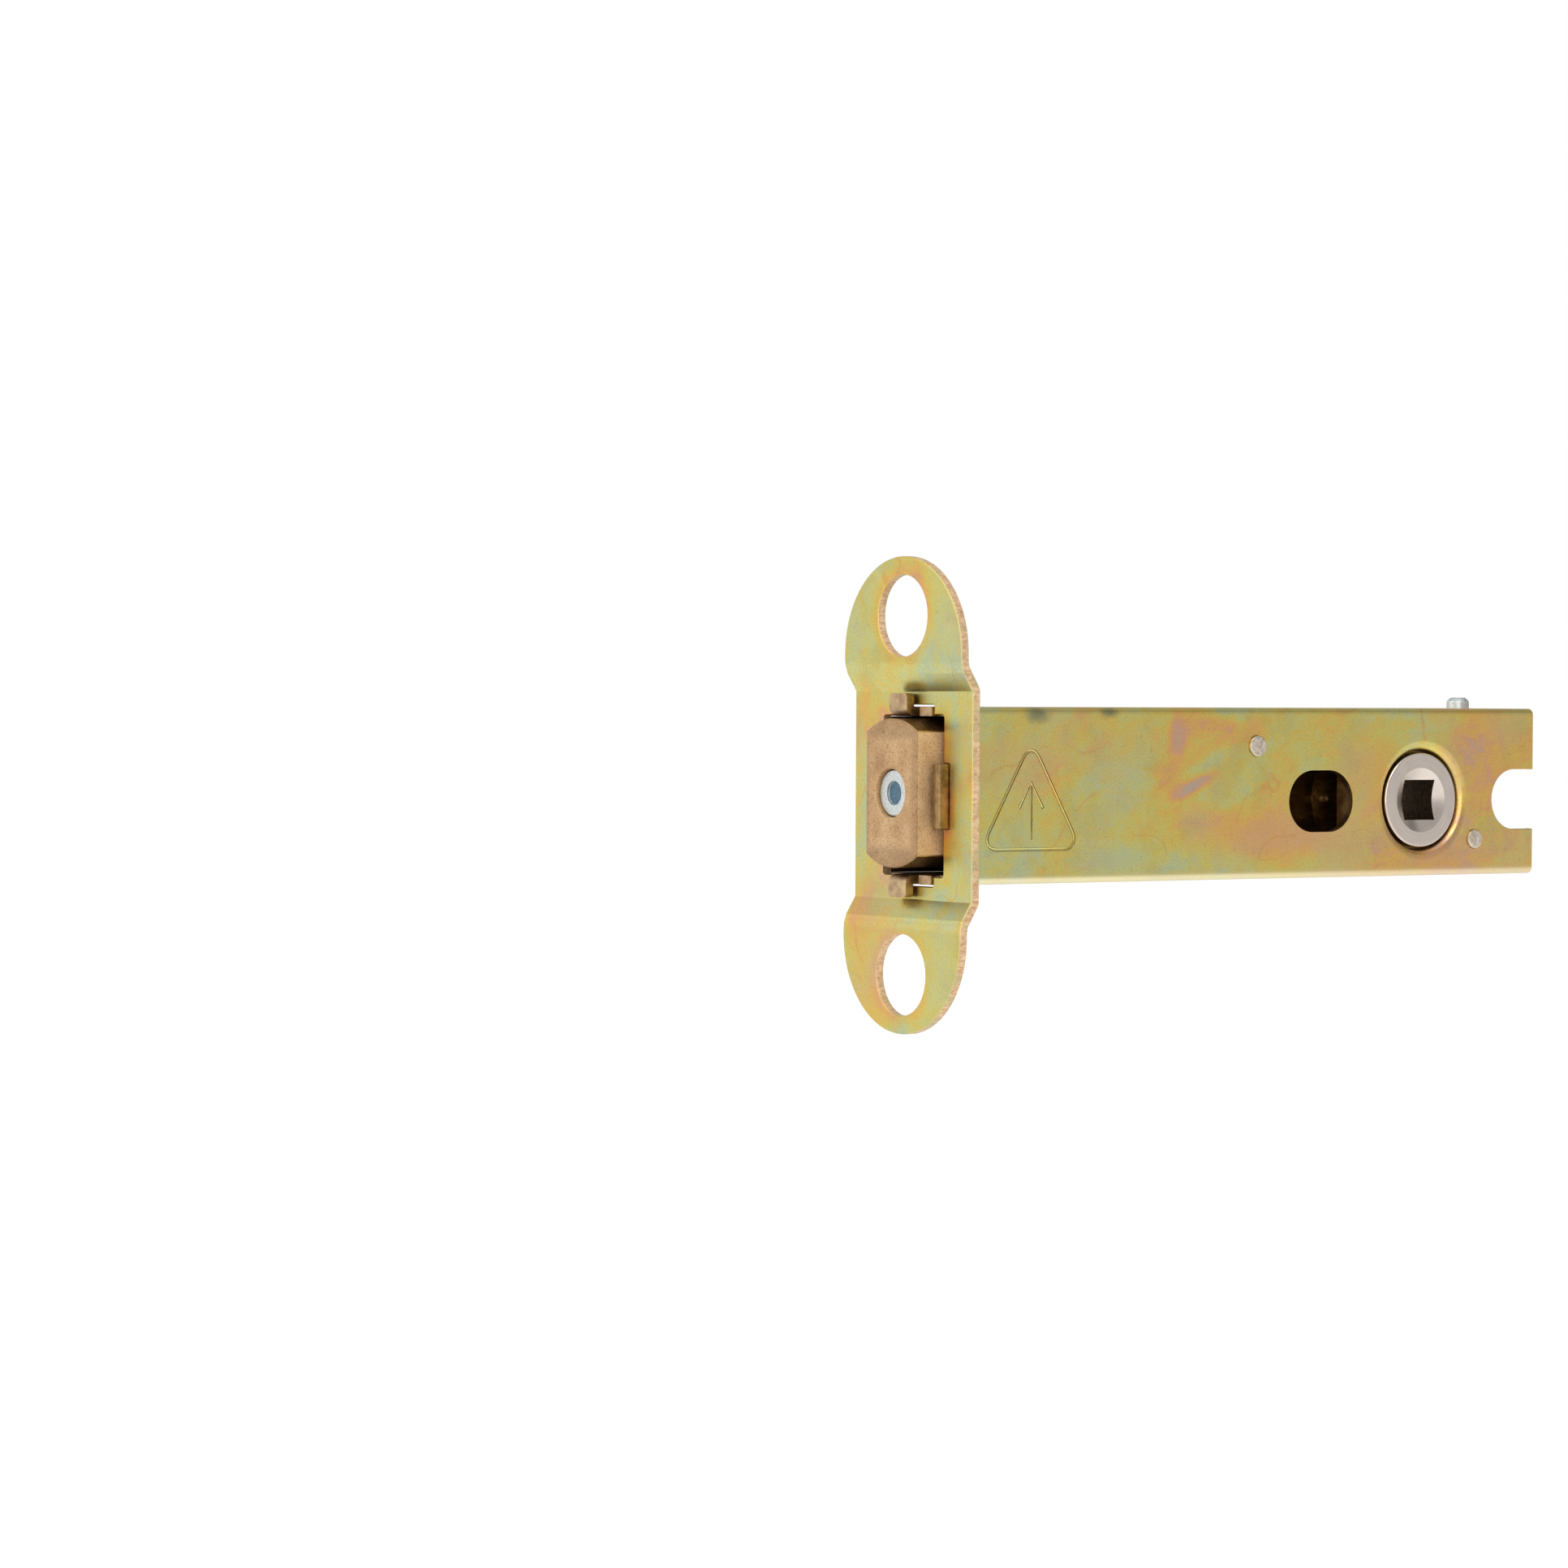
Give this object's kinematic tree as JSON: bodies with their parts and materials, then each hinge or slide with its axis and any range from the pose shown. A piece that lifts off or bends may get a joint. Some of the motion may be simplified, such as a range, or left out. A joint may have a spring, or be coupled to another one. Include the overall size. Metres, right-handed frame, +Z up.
{
  "type": "tubular deadbolt",
  "caption": "Tubular deadbolt with a folded steel case, joggled forend, flatted brass bolt and a square-drive follower that throws the bolt through a drawbar.",
  "frame": {"origin": "midway between the two screw holes, on the back face of the forend's ears", "axes": "+X back along the case, +Z up, bolt throws along -X"},
  "size_m": [0.1021, 0.0242, 0.0594],
  "materials": {
    "yellow_zinc_steel": "yellow passivated zinc on pressed steel",
    "bright_zinc_steel": "bright zinc plate",
    "brass": "matt, lightly tumbled",
    "nickel_plate": "nickel plate, turned face",
    "spring_steel": "hardened and oiled"
  },
  "bodies": {
    "case": {"forend": "yellow_zinc_steel", "case_channel": "yellow_zinc_steel", "case_cover": "yellow_zinc_steel", "guide_pin": "bright_zinc_steel", "spring_pin": "bright_zinc_steel", "stop_stud": "bright_zinc_steel", "detent_spring": "spring_steel"},
    "bolt": {"bolt_head": "brass", "bolt_rivet": "bright_zinc_steel", "drawbar": "yellow_zinc_steel"},
    "follower": {"follower": "nickel_plate"}
  },
  "joints": [
    {"name": "follower_turn", "type": "hinge", "parent": "case", "child": "follower", "pos_m": [0.07925, 0, -0.00105], "axis": [0, -1, 0], "range_deg": [0, 90], "deforming": ["detent_spring"]},
    {"name": "bolt_throw", "type": "slide", "parent": "case", "child": "bolt", "axis": [-1, 0, 0], "range_m": [0, 0.0115]}
  ],
  "couplings": [
    {"joint": "follower_turn", "follows": "bolt_throw", "rad_per_m": 136.59}
  ]
}
